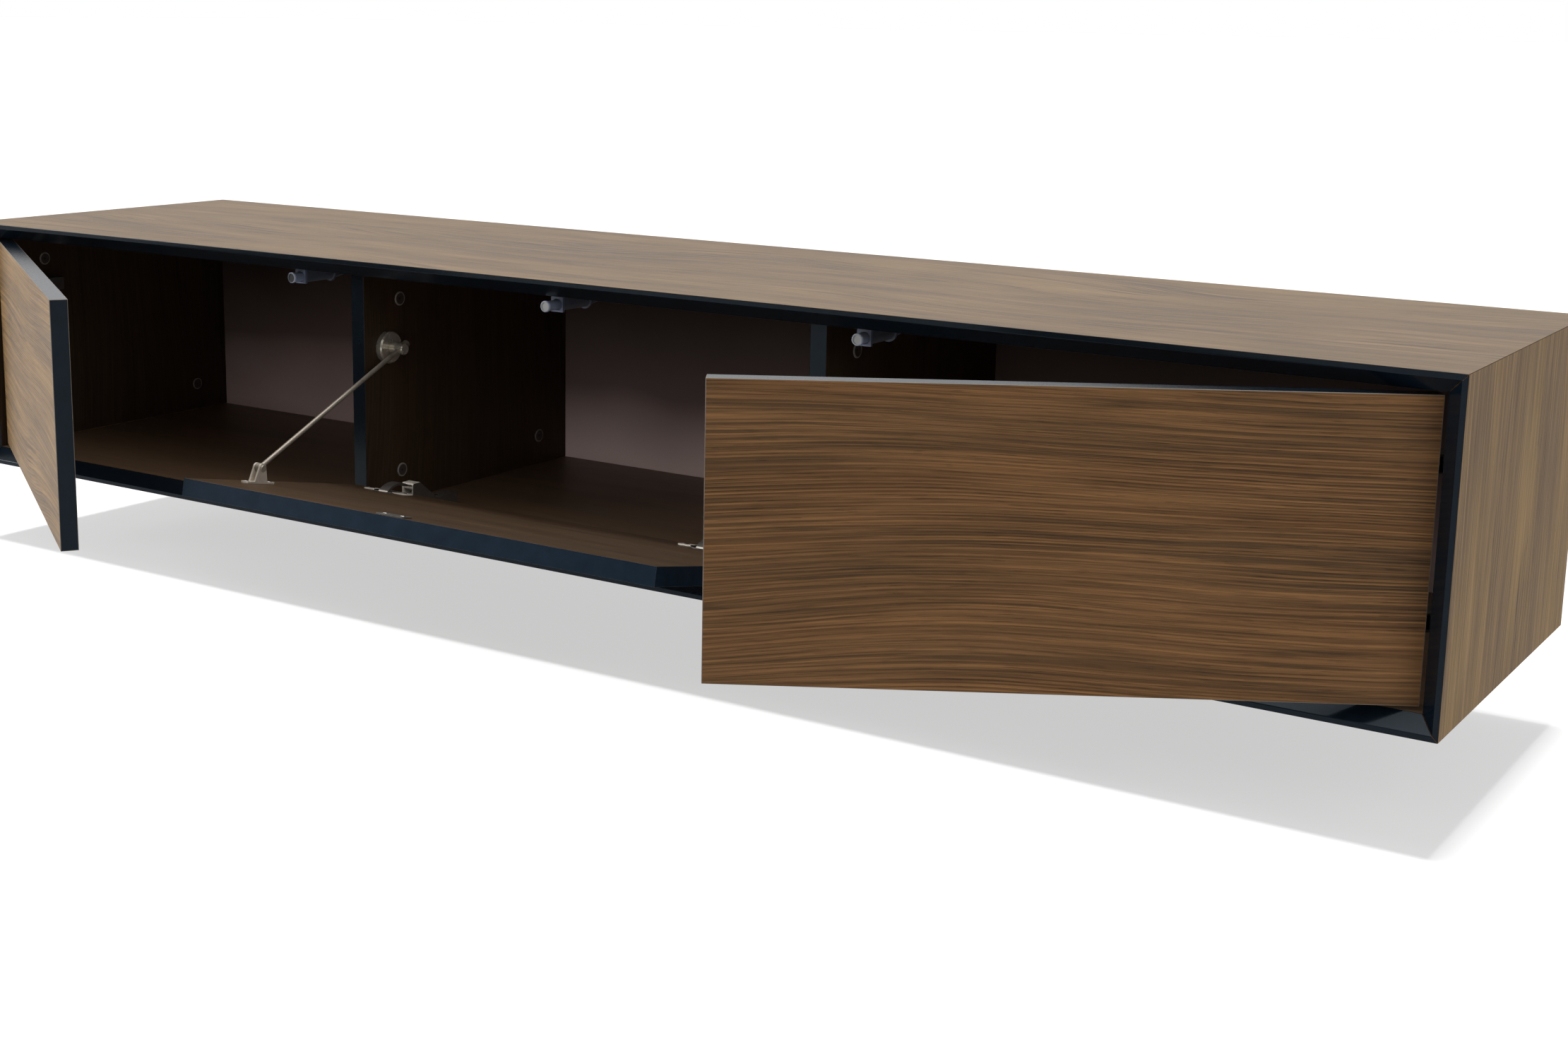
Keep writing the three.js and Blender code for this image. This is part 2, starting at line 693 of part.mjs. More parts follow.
// The bracket on the flap: a base with two screws, and two ears that hold the pin
function addStayBracket(front) {
  const earInside = eyeThickness / 2 + seat;
  const earOutside = earInside + earThickness;
  const foot = stayPinHeight - seat;
  const outline = new THREE.Shape();
  outline.moveTo(-earFoot / 2, -foot);
  outline.lineTo(earFoot / 2, -foot);
  outline.lineTo(eyeRadius, 0);
  outline.absarc(0, 0, eyeRadius, 0, halfTurn);
  outline.lineTo(-earFoot / 2, -foot);
  const ears = [earInside, -earOutside].map((x) => {
    const ear = extruded(outline, earThickness);
    return ear.translate(0, 0, x);
  });
  const base = roundedPlate(bracketLength, 2 * earOutside, earOutside, bracketThickness);
  base.rotateX(-quarterTurn).translate(0, -foot, 0);
  const screwHoles = [-1, 1].map((side) => {
    const at = [(side * bracketScrewSpacing) / 2, 0];
    return bar('y', bracketScrewRadius, -foot - overrun, bracketThickness + overrun - foot, at, smallFacets);
  });
  const pinHole = bar('z', stayPinRadius + seat, -earOutside - overrun, earOutside + overrun, [0, 0], smallFacets);
  const bracket = cut(join(base, ...ears), pinHole, ...screwHoles);
  const mesh = addMesh(front, 'stay_bracket', bracket, finish.nickel);
  mesh.position.set(rodX, ...pinClosed);
  mesh.rotation.y = -quarterTurn;
  const headStart = earOutside + seat;
  const profile = [
    [-headStart - stayPinHeadThickness, 0],
    [-headStart - stayPinHeadThickness, stayPinHeadRadius],
    [-headStart, stayPinHeadRadius],
    [-headStart, stayPinRadius],
    [headStart, stayPinRadius],
    [headStart, stayPinHeadRadius],
    [headStart + stayPinHeadThickness, stayPinHeadRadius],
    [headStart + stayPinHeadThickness, 0],
  ];
  const pin = addMesh(front, 'stay_pin', turned(profile, smallFacets), finish.chrome);
  pin.position.set(rodX, ...pinClosed);
}

function addDoor(box, name, hingeX, freeX, angle) {
  const inward = Math.sign(freeX - hingeX);
  const pivot = [hingeX + inward * pivotInset, frontFace, 0];
  const front = turnedGroup(box, pivot, 'z', -inward * radians(angle));
  const hingeHeights = [frontTop - doorHingeInset, frontBottom + doorHingeInset];
  const cups = hingeHeights.map((z) => [hingeX + inward * cupCentre, z]);
  const panel = frontPanel(Math.min(hingeX, freeX), Math.max(hingeX, freeX), cups);
  addMesh(front, `${name}_door`, panel, finish.veneer);
  ['upper', 'lower'].forEach((level, i) => {
    const turn = inward > 0 ? 0 : halfTurn;
    addHinge(box, front, `${name}_${level}`, [hingeX, frontFace, hingeHeights[i]], turn, sideGap);
  });
  const latchX = freeX + inward * (frontGap / 2 - latchFromPartition) - fittingsShift;
  addStrike(front, name, latchX);
  addLatch(box, name, latchX, (doorLatchTravel * angle) / doorOpenLimit);
}

function addFlap(box) {
  const front = turnedGroup(box, [0, ...flapPivot], 'x', radians(flapAngle));
  const hingePlaces = [flapLeft + flapHingeInset, flapRight - flapHingeInset].map((x) => x - fittingsShift);
  const cups = hingePlaces.map((x) => [x, frontBottom + cupCentre]);
  addMesh(front, 'drop_flap', frontPanel(flapLeft, flapRight, cups), finish.veneer);
  ['left', 'right'].forEach((side, i) => {
    addHinge(box, front, `flap_${side}`, [hingePlaces[i], frontFace, frontBottom], -quarterTurn, endGap);
  });
  addStrike(front, 'flap', width / 2 - fittingsShift);
  addLatch(box, 'flap', width / 2 - fittingsShift, flapLatchTravel);
  addStayBracket(front);
}

const box = new THREE.Group();
box.position.set(-width / 2, -depth, -railCentre);
addCarcass(box);
addRails(box);
addDoor(box, 'left', leftEdge, leftEdge + frontWidth, leftDoorAngle);
addDoor(box, 'right', rightEdge, rightEdge - frontWidth, rightDoorAngle);
addFlap(box);
addStayDisc(box);
addStayGuide(box);
addStayRod(box);

const cabinet = new THREE.Group();
cabinet.add(box);

export default cabinet;
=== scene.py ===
import json
import math

import bmesh
import bpy
from mathutils import Matrix, Vector


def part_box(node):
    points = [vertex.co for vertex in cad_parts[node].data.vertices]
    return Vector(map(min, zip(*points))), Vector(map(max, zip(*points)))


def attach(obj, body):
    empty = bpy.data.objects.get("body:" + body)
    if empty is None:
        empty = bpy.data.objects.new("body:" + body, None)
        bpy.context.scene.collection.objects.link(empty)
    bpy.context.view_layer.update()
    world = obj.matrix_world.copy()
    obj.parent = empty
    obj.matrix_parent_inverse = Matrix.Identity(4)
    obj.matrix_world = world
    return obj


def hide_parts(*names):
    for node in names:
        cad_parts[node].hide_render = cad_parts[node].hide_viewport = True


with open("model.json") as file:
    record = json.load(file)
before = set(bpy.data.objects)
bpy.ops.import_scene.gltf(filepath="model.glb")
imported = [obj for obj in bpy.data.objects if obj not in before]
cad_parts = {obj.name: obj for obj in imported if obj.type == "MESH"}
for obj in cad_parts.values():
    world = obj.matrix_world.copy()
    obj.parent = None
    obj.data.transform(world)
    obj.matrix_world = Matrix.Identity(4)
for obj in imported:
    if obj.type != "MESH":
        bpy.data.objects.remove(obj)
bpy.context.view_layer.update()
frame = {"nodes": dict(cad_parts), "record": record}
nodes = frame["nodes"]
record = frame["record"]
body_of = {node: body for body, names in record["behaviour"]["bodies"].items() for node in names}

# The box in the frame, in metres
BOX_HEIGHT = 0.3
TOP_INSET = 0.0002
top_low, top_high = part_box("top_panel")
BOX_CORNER = Vector((top_low.x - TOP_INSET, top_low.y, top_high.z - BOX_HEIGHT))

QUARTER = math.pi / 2

# Edges with a larger angle are creased, and rounded on the CAD pieces
SHARP = math.radians(32)


def spot(x, y, z):
    """A place in the closed box, in millimetres from its lower left front corner."""
    return Vector((x / 1000, y / 1000, z / 1000)) + BOX_CORNER


# A point on each hinged body's axis, the axis, and how far open the front stands at rest
HINGED = {
    "left_door": (spot(30, 16, 0), "Z", math.radians(-33.5)),
    "right_door": (spot(1770, 16, 0), "Z", math.radians(30.5)),
    "flap": (spot(0, 16, 30.5), "X", math.radians(78.5)),
}


def at_rest(body, place, normal):
    """A place and a direction on a body, carried from its closed place to where it stands at rest."""
    if body not in HINGED:
        return place, Vector(normal)
    pivot, axis, angle = HINGED[body]
    turn = Matrix.Rotation(angle, 3, axis)
    return pivot + turn @ (place - pivot), turn @ Vector(normal)


# Materials

class Build:
    """Adds nodes to a material's tree with short calls."""

    def __init__(self, tree):
        self.tree = tree

    def node(self, kind, **values):
        made = self.tree.nodes.new(kind)
        for name, value in values.items():
            setattr(made, name, value)
        return made

    def link(self, source, target):
        self.tree.links.new(source, target)

    def put(self, socket, value):
        if isinstance(value, bpy.types.NodeSocket):
            self.link(value, socket)
        else:
            socket.default_value = value

    def math(self, operation, a, b=None, c=None):
        made = self.node("ShaderNodeMath", operation=operation)
        for socket, value in zip(made.inputs, (a, b, c)):
            if value is not None:
                self.put(socket, value)
        return made.outputs[0]

    def noise(self, vector, scale, detail=3.0, rough=0.5, distort=0.0):
        made = self.node("ShaderNodeTexNoise")
        self.put(made.inputs["Vector"], vector)
        made.inputs["Scale"].default_value = scale
        made.inputs["Detail"].default_value = detail
        made.inputs["Roughness"].default_value = rough
        made.inputs["Distortion"].default_value = distort
        return made.outputs["Fac"]

    def stretch(self, vector, scale, shift=(0, 0, 0), turn=(0, 0, 0)):
        made = self.node("ShaderNodeMapping")
        self.put(made.inputs["Vector"], vector)
        made.inputs["Location"].default_value = shift
        made.inputs["Rotation"].default_value = turn
        made.inputs["Scale"].default_value = scale
        return made.outputs[0]

    def spread(self, value, low, high, to_low=0.0, to_high=1.0):
        """Takes the range from low to high to another range, and stops at its ends."""
        made = self.node("ShaderNodeMapRange", clamp=True)
        self.put(made.inputs["Value"], value)
        made.inputs["From Min"].default_value = low
        made.inputs["From Max"].default_value = high
        made.inputs["To Min"].default_value = to_low
        made.inputs["To Max"].default_value = to_high
        return made.outputs["Result"]

    def ramp(self, value, stops):
        made = self.node("ShaderNodeValToRGB")
        self.put(made.inputs["Fac"], value)
        points = made.color_ramp.elements
        while len(points) < len(stops):
            points.new(0.5)
        for point, (place, colour) in zip(points, stops):
            point.position = place
            point.color = (*colour, 1)
        return made.outputs["Color"]

    def mix(self, factor, a, b):
        made = self.node("ShaderNodeMix", data_type="RGBA", blend_type="MIX")
        self.put(made.inputs["Factor"], factor)
        for socket, value in ((made.inputs["A"], a), (made.inputs["B"], b)):
            self.put(socket, (*value, 1) if isinstance(value, tuple) else value)
        return made.outputs["Result"]

    def bump(self, height, strength, distance):
        made = self.node("ShaderNodeBump")
        made.inputs["Strength"].default_value = strength
        made.inputs["Distance"].default_value = distance
        self.link(height, made.inputs["Height"])
        return made.outputs["Normal"]

    def place(self):
        return self.node("ShaderNodeTexCoord").outputs["Object"]

    def parts(self, vector):
        """A vector's three coordinates."""
        made = self.node("ShaderNodeSeparateXYZ")
        self.link(vector, made.inputs[0])
        return made.outputs


def material(name):
    made = bpy.data.materials.new(name)
    made.use_nodes = True
    return made, made.node_tree.nodes["Principled BSDF"], Build(made.node_tree)


def srgb(r, g, b):
    """A colour written in 0..255 as the linear numbers that a shader takes."""
    def one(v):
        v /= 255
        return v / 12.92 if v <= 0.04045 else ((v + 0.055) / 1.055) ** 2.4
    return one(r), one(g), one(b)


# Cuts of one veneer. RICH is strongly figured, PALE has faint growth lines and CALM fainter ones.
# STRONG is for the top, OLIVE for the sides, MIDDLE for the left door and DULL for the bays.
# rings, bands, streaks and flecks say how strongly each of these shows.
RICH = {"base": (106, 76, 48), "warm": (120, 80, 46), "dark": (72, 56, 40),
        "light": (152, 110, 70), "line": (36, 23, 14),
        "rings": 0.85, "bands": 0.6, "streaks": 0.75, "flecks": 0.5}
PALE = {"base": (107, 83, 55), "warm": (116, 93, 60), "dark": (88, 70, 55),
        "light": (126, 101, 70), "line": (66, 49, 33),
        "rings": 0.5, "bands": 0.85, "streaks": 0.4, "flecks": 0.9}
CALM = {**PALE, "rings": 0.45, "bands": 0.6, "flecks": 0.5}
STRONG = {**PALE, "dark": (74, 57, 43), "light": (144, 116, 80), "line": (26, 17, 10),
          "rings": 1.0, "bands": 1.0, "streaks": 0.9, "flecks": 1.0}
OLIVE = {**STRONG, "base": (106, 84, 51), "warm": (118, 95, 56), "dark": (76, 60, 42),
         "rings": 0.8, "streaks": 0.55}
MIDDLE = {"base": (109, 83, 51), "warm": (120, 92, 53), "dark": (80, 62, 43),
          "light": (145, 115, 76), "line": (30, 21, 13),
          "rings": 1.0, "bands": 0.8, "streaks": 0.8, "flecks": 0.5}
DULL = {"base": (102, 80, 60), "warm": (114, 84, 58), "dark": (80, 66, 54),
        "light": (122, 98, 76), "line": (58, 44, 33),
        "rings": 0.5, "bands": 0.6, "streaks": 0.6, "flecks": 0.3}
FLECK, FIBRE, PORE = (58, 44, 31), (52, 36, 23), (36, 25, 17)
VARNISH = (1.0, 0.98, 0.90, 1)
LINES_PER_METRE = 360


def wood(name, turn, shift, cut, tone=1.0, shine=0.4, swing=0.10, width=1.0):
    """Walnut-toned veneer. turn brings the grain to X and the face's normal to Z. tone brightens the
    cut's colours, swing is how far in metres the growth lines wander, and width stretches the bands
    of darker and warmer wood."""
    made, shader, n = material(name)

    def grained(vector, cells, from_place=(0, 0, 0), detail=2.0, rough=0.5):
        """Noise with so many cells a metre along the grain, across it and through the board."""
        return n.noise(n.stretch(vector, cells, from_place), 1.0, detail, rough)

    def centred(noise):
        return n.math("SUBTRACT", noise, 0.5)

    def toned(colour):
        return tuple(c * tone for c in srgb(*colour))

    grain = n.stretch(n.place(), (1, 1, 1), shift, turn)
    along, crosswise, through = n.parts(grain)

    # Growth lines some 3 mm apart, drawn aside by slow swells and small ripples in the wood
    swell = grained(grain, (1.9, 4.6, 0.3), detail=0.6, rough=0.4)
    ripple = grained(grain, (7, 24, 1), (2.7, 0.3, 0), detail=1.0)
    spacing = grained(grain, (0.5, 9, 0.5), (0.6, 4.4, 0))
    across = n.math("MULTIPLY_ADD", centred(swell), swing, crosswise)
    across = n.math("MULTIPLY_ADD", centred(ripple), 0.0045, across)
    across = n.math("MULTIPLY_ADD", spacing, 0.024, across)
    saw = n.math("FRACT", n.math("MULTIPLY", across, LINES_PER_METRE))
    line = n.math("MULTIPLY", n.math("POWER", saw, 2.1), n.spread(saw, 0.88, 1.0, 1.0, 0.0))
    patch = grained(grain, (4.5, 26, 1), (1.9, 0.8, 0), detail=3.0, rough=0.55)
    line = n.math("MULTIPLY", line, n.spread(patch, 0.38, 0.62, 0.05, 1.0))

    # Streaks, bands, flecks, fine fibres and short dark pores that follow the same lines
    bent = n.node("ShaderNodeCombineXYZ")
    n.link(along, bent.inputs[0])
    n.link(across, bent.inputs[1])
    n.link(through, bent.inputs[2])
    flow = bent.outputs[0]
    streak = grained(flow, (5, 400, 1), (0.4, 2.2, 0), detail=3.0, rough=0.65)
    fibre = grained(flow, (22, 900, 1))
    pore = grained(flow, (60, 900, 1), (0.9, 0.1, 0), detail=1.0, rough=0.4)
    dash = n.math("MULTIPLY", n.spread(pore, 0.60, 0.68), n.spread(line, 0.1, 0.5, 0.45, 1.0))
    broad = grained(flow, (1.5, 26 / width, 0.5), (1.3, 0.2, 0), detail=3.0, rough=0.55)
    warmth = grained(flow, (2.2, 30 / width, 0.5), (7.3, 3.2, 0))
    shade = grained(grain, (1.1, 3.0, 1), (4.6, 8.1, 0), detail=1.0)
    thin = grained(flow, (9, 260, 1), (5.2, 7.7, 0))
    group = grained(flow, (3.1, 17, 1), (3.3, 6.1, 0), detail=1.0)
    fleck = n.math("MULTIPLY", n.spread(thin, 0.57, 0.68), n.spread(group, 0.47, 0.60))

    colour = toned(cut["base"])
    for share, tint in (
        (n.spread(warmth, 0.42, 0.66, 0.0, cut["bands"]), cut["warm"]),
        (n.spread(broad, 0.44, 0.66, 0.0, cut["bands"]), cut["dark"]),
        (n.spread(shade, 0.40, 0.62, 0.0, 0.35), cut["dark"]),
        (n.spread(streak, 0.40, 0.66, 0.0, cut["streaks"]), cut["light"]),
        (n.math("MULTIPLY", line, cut["rings"]), cut["line"]),
        (n.math("MULTIPLY", fleck, cut["flecks"]), FLECK),
        (n.math("MULTIPLY", n.spread(fibre, 0.35, 0.65), 0.24), FIBRE),
        (n.math("MULTIPLY", dash, 0.5 * cut["rings"]), PORE),
    ):
        colour = n.mix(share, colour, toned(tint))
    n.link(colour, shader.inputs["Base Color"])
    n.link(n.spread(fibre, 0.3, 0.7, 0.50, 0.42), shader.inputs["Roughness"])
    grooves = n.math("ADD", dash, n.math("MULTIPLY", line, 0.3))
    height = n.math("SUBTRACT", n.math("MULTIPLY", fibre, 0.4), grooves)
    n.link(n.bump(height, 0.25, 0.0003), shader.inputs["Normal"])
    shader.inputs["Specular IOR Level"].default_value = shine
    shader.inputs["Specular Tint"].default_value = VARNISH
    return made


def painted(name, colour, rough, grit=0.04, shine=0.5, tint=(1, 1, 1)):
    """A smooth dark lacquer with a faint unevenness."""
    made, shader, n = material(name)
    place = n.place()
    cloud = n.noise(place, 60)
    speck = n.noise(place, 900, 2.0)
    dark = tuple(c * 0.85 for c in colour)
    light = tuple(c * 1.18 for c in colour)
    n.link(n.ramp(n.spread(cloud, 0.3, 0.7), [(0, dark), (1, light)]), shader.inputs["Base Color"])
    n.link(n.spread(speck, 0.3, 0.7, rough - grit, rough + grit), shader.inputs["Roughness"])
    n.link(n.bump(speck, 0.08, 0.0002), shader.inputs["Normal"])
    shader.inputs["Specular IOR Level"].default_value = shine
    shader.inputs["Specular Tint"].default_value = (*tint, 1)
    return made


def plated(name, colour, rough, brushed=0.0, metal=1.0):
    """Plated metal, with faint smears, and with fine lines if it is brushed."""
    made, shader, n = material(name)
    place = n.place()
    smear = n.noise(place, 140, 4.0, 0.6, 0.6)
    lines = n.noise(n.stretch(place, (60, 1600, 1600)), 1.0, 2.0)
    low = tuple(c * 0.82 for c in colour)
    n.link(n.ramp(n.spread(smear, 0.3, 0.7), [(0, low), (1, colour)]), shader.inputs["Base Color"])
    n.link(n.spread(smear, 0.25, 0.75, rough * 0.7, rough * 1.4), shader.inputs["Roughness"])
    n.link(n.bump(lines if brushed else smear, 0.12 + brushed, 0.0001), shader.inputs["Normal"])
    shader.inputs["Metallic"].default_value = metal
    return made


def moulded(name, colour, rough):
    """Moulded plastic with a fine grain."""
    made, shader, n = material(name)
    place = n.place()
    grain = n.noise(place, 1400, 3.0, 0.6)
    cloud = n.noise(place, 90, 2.0)
    dark = tuple(c * 0.8 for c in colour)
    n.link(n.ramp(cloud, [(0.3, dark), (0.7, colour)]), shader.inputs["Base Color"])
    n.link(n.spread(grain, 0.3, 0.7, rough - 0.06, rough + 0.06), shader.inputs["Roughness"])
    n.link(n.bump(grain, 0.15, 0.0002), shader.inputs["Normal"])
    return made


def shaded_paper(name, foot, middle, head, bottom, top):
    """Smooth paper foil, painted paler at the foot and darker at the top: painted shade. It runs from
    bottom to top in height.
    """
    made, shader, n = material(name)
    place = n.place()
    cloud = n.noise(n.stretch(place, (3, 3, 5)), 1.0, 2.0)
    height = n.math("MULTIPLY_ADD", n.math("SUBTRACT", cloud, 0.5), 0.10, n.parts(place)[2])
    shade_ramp = n.ramp(n.spread(height, bottom, top), [(0, foot), (0.45, middle), (1, head)])
    n.link(shade_ramp, shader.inputs["Base Color"])
    n.link(n.bump(n.noise(place, 1200, 2.0), 0.08, 0.0002), shader.inputs["Normal"])
    shader.inputs["Roughness"].default_value = 0.6
    shader.inputs["Specular IOR Level"].default_value = 0.2
    return made


LYING, UPRIGHT, FACING = (0, 0, 0), (0, QUARTER, 0), (-QUARTER, 0, 0)
veneer = {
    "top": wood("veneer_top", LYING, (0.2, 0.1, 0), STRONG,
                tone=1.05, shine=0.28, swing=0.20, width=1.3),
    "bottom": wood("veneer_bottom", LYING, (1.7, 0.6, 0.2), RICH, tone=0.9, shine=0.25),
    # The sides' veneer is a brightened copy at a high tone with little shine: painted sheen on the
    # sides
    "side": wood("veneer_side_sheen", UPRIGHT, (0.4, 2.3, 0.1), OLIVE,
                 tone=1.80, shine=0.06, swing=0.05, width=2.4),
    # The bays' walls take the veneer at a low tone: a darkened copy, painted shade inside the bays
    "inside": wood("veneer_inside", UPRIGHT, (2.9, 1.1, 0.4), DULL, tone=0.36, shine=0.15),
    "floor": wood("veneer_floor", LYING, (4.1, 0.6, 0.2), DULL, tone=1.1, shine=0.6),
    "right_door": wood("veneer_right_door", FACING, (0.9, 0.5, 0), RICH,
                       tone=1.05, shine=0.12, swing=0.06),
    # The left door's veneer is a brightened copy at a high tone: painted sheen, the pale veil its
    # face catches at a grazing angle
    "left_door": wood("veneer_left_door_sheen", FACING, (3.4, 1.9, 0), MIDDLE,
                      tone=1.50, shine=0.30, swing=0.14),
    "flap_front": wood("veneer_flap_front", LYING, (2.2, 0.7, 0), RICH,
                       tone=1.18, shine=0.15, swing=0.07),
    # The flap's inner face takes the veneer at a low tone: a darkened copy, painted shade
    "flap": wood("veneer_flap_shaded", LYING, (2.4, 3.1, 0), {**DULL, "rings": 1.0, "streaks": 0.9},
                 tone=0.46, shine=0.11),
}
LACQUER = {"rough": 0.22, "grit": 0.03, "shine": 0.22, "tint": (0.75, 0.88, 1.0)}
black = painted("black_lacquer", srgb(10, 19, 27), **LACQUER)
# The flap's edging is a lighter copy of the black lacquer: painted light on the flap's edge
flap_black_lit = painted("flap_lacquer_lit", srgb(21, 34, 47), **LACQUER)
# A pale colour for the fronts' rounded edges: painted highlight along them
edge_highlight = painted("edge_highlight", srgb(112, 102, 92), 0.5)

back_low, back_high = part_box("back_panel")
# The back board's foil goes from a pale foot to a dark head: painted shade under the top board
back_paper_shaded = shaded_paper("back_board_painted_shade", srgb(196, 172, 167), srgb(104, 87, 83), srgb(58, 46, 40),
                   back_low.z + 0.02, back_high.z - 0.05)
raw_wood = wood("raw_softwood", (QUARTER, 0, 0), (5.5, 0.4, 0), CALM, tone=3.0)
hardboard = moulded("hardboard", srgb(112, 84, 60), 0.7)
nickel = plated("nickel_plate", (0.72, 0.65, 0.56), 0.36, brushed=0.05, metal=0.5)
# One nickel plate in a lit and a shaded copy: painted highlight on the hinges' flanges and arms'
# noses, painted shade on the rest of the hinges and on the plates
highlight_nickel = plated("highlight_nickel", (0.88, 0.81, 0.71), 0.3, brushed=0.02, metal=0.2)
shaded_nickel = plated("shaded_nickel", (0.10, 0.09, 0.08), 0.45, brushed=0.05, metal=0.5)
chrome = plated("chrome_plate", (0.66, 0.61, 0.52), 0.22, metal=0.75)
rod_plate = plated("rod_plate", (0.27, 0.235, 0.19), 0.42, brushed=0.05, metal=0.5)
steel = plated("screw_steel", (0.72, 0.71, 0.68), 0.2)
dark_plastic = moulded("dark_plastic", srgb(84, 90, 104), 0.4)
sleeve_plastic = moulded("sleeve_plastic", srgb(104, 113, 134), 0.35)
# A pale plastic for the plungers' tip rims, laid also on the housings' rounded edges as painted
# highlight
rim_and_highlight_plastic = moulded("rim_and_highlight_plastic", srgb(178, 188, 208), 0.35)
blue_plastic = moulded("blue_plastic", srgb(134, 146, 172), 0.35)
pad_plastic = moulded("pad_plastic", srgb(160, 161, 160), 0.5)
# Black for the screws' and caps' cross recesses and the left latch's tip socket: painted shade in
# these hollows
recess_shade_black = moulded("recess_shade_black", srgb(24, 24, 26), 0.6)
cap_plastic = moulded("cap_plastic", srgb(142, 134, 126), 0.5)
# A darker copy of the caps' plastic for their sunk middles: painted shade in the recess
cap_recess_shade = moulded("cap_recess_shade", srgb(66, 58, 52), 0.55)


# The CAD pieces with finishes and rounded edges

# What shades the overhead lamps, what the bays' lamp lights, and what the floor's sun lights
shadow_makers = bpy.data.collections.new("shadow_makers")
bay_backs = bpy.data.collections.new("bay_backs")
ground = bpy.data.collections.new("ground")

# Widths of the rounded edges, in metres
BOARD_ROUND, RAIL_ROUND, METAL_ROUND = 0.0006, 0.001, 0.0002
HOUSING_ROUND, PLUNGER_ROUND = 0.0004, 0.0003
LIKE_ITS_FACES = -1


def skin(node, finishes, width, pick=None, segments=2, rounding=LIKE_ITS_FACES):
    """The CAD node's own shape with softly rounded edges. pick gives the number of a face's finish
    from its centre and its normal, and rounding is the number of the rounded edges' finish."""
    mesh = bpy.data.meshes.new("skin_" + node)
    shape = bmesh.new()
    shape.from_mesh(nodes[node].data)
    bmesh.ops.remove_doubles(shape, verts=shape.verts, dist=1e-6)
    bmesh.ops.dissolve_limit(shape, angle_limit=math.radians(0.5), verts=shape.verts,
                             edges=shape.edges)
    bmesh.ops.recalc_face_normals(shape, faces=shape.faces)
    for face in shape.faces:
        face.smooth = True
        face.material_index = pick(face.calc_center_median(), face.normal) if pick else 0
    for edge in shape.edges:
        edge.smooth = len(edge.link_faces) == 2 and edge.calc_face_angle(0) < SHARP
    shape.to_mesh(mesh)
    shape.free()
    for finish in finishes:
        mesh.materials.append(finish)
    made = bpy.data.objects.new("skin_" + node, mesh)
    bpy.context.scene.collection.objects.link(made)
    if width:
        bevel = made.modifiers.new("bevel", "BEVEL")
        bevel.width = width
        bevel.segments = segments
        bevel.limit_method = "ANGLE"
        bevel.angle_limit = SHARP
        bevel.use_clamp_overlap = True
        bevel.harden_normals = True
        bevel.material = rounding
    if body_of[node] == "carcass":
        shadow_makers.objects.link(made)
    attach(made, body_of[node])
    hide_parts(node)
    return made


# Least cosines between a face's normal and the way that it has to look
LIP, BAY_FACE, BROAD_FACE, REAR = 0.3, 0.9, 0.95, 0.5


def board_pick(inward):
    """Black on a board's front lip and bevel, the bays' veneer on the face that looks inward."""
    def pick(centre, normal):
        if -normal.y > LIP:
            return 1
        return 2 if normal.dot(Vector(inward)) > BAY_FACE else 0
    return pick


def partition_pick(centre, normal):
    """Black on a partition's front edge."""
    return 1 if -normal.y > LIP else 0


def back_pick(centre, normal):
    """Paper foil in the bays, bare board at the rear."""
    return 1 if normal.y > REAR else 0


def front_pick(inward):
    """A front's inner face first, its outer face last and the edging between."""
    def pick(centre, normal):
        facing = normal.dot(inward)
        if facing > BROAD_FACE:
            return 0
        return 3 if facing < -BROAD_FACE else 1
    return pick


# The side panels' faces in the bays take the darkened veneer as painted shade; the top's and bottom's
# take the floor veneer
for node, outer, inner, inward in (("top_panel", "top", "floor", (0, 0, -1)),
                                   ("bottom_panel", "bottom", "floor", (0, 0, 1)),
                                   ("side_panel_left", "side", "inside", (1, 0, 0)),
                                   ("side_panel_right", "side", "inside", (-1, 0, 0))):
    skin(node, [veneer[outer], black, veneer[inner]], BOARD_ROUND, board_pick(inward))
# The partitions take the darkened veneer as painted shade
for node in ("partition_left", "partition_right"):
    skin(node, [veneer["inside"], black], BOARD_ROUND, partition_pick)
bay_backs.objects.link(skin("back_panel", [back_paper_shaded, hardboard], 0, back_pick))
for node in ("hanging_rail", "lower_rail"):
    skin(node, [raw_wood], RAIL_ROUND)

# Which way each front's inner face looks at rest
inward_of = {
    node: at_rest(body, Vector((0, 0, 0)), (0, 1, 0))[1]
    for node, body in (("left_door", "left_door"), ("right_door", "right_door"),
                       ("drop_flap", "flap"))
}
# The fronts' rounded edges take the pale painted highlight
for node, inner, outer, edging in (("left_door", "left_door", "left_door", black),
                                   ("right_door", "right_door", "right_door", black),
                                   ("drop_flap", "flap", "flap_front", flap_black_lit)):
    skin(node, [veneer[inner], edging, edge_highlight, veneer[outer]], BOARD_ROUND,
         front_pick(inward_of[node]), rounding=2)


# A flange's reach above its front's back face, and the length of an arm's nose, which bound the
# painted highlight
FLANGE_LOW, FLANGE_HIGH = 0.0001, 0.0022
ARM_NOSE = 0.012


def flange_highlight_pick(front):
    """The flange, which lies on the front's back face, takes a painted highlight; the link and the
    cup take painted shade.
    """
    inward = inward_of[front]
    sheet = max(v.co.dot(inward) for v in nodes[front].data.vertices)

    def pick(centre, normal):
        return 0 if FLANGE_LOW < centre.dot(inward) - sheet < FLANGE_HIGH else 1
    return pick


def nose_highlight_pick(node):
    """A hinge arm's nose takes a painted highlight, the rest painted shade."""
    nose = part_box(node)[0].y + ARM_NOSE
    return lambda centre, normal: 0 if centre.y < nose else 1


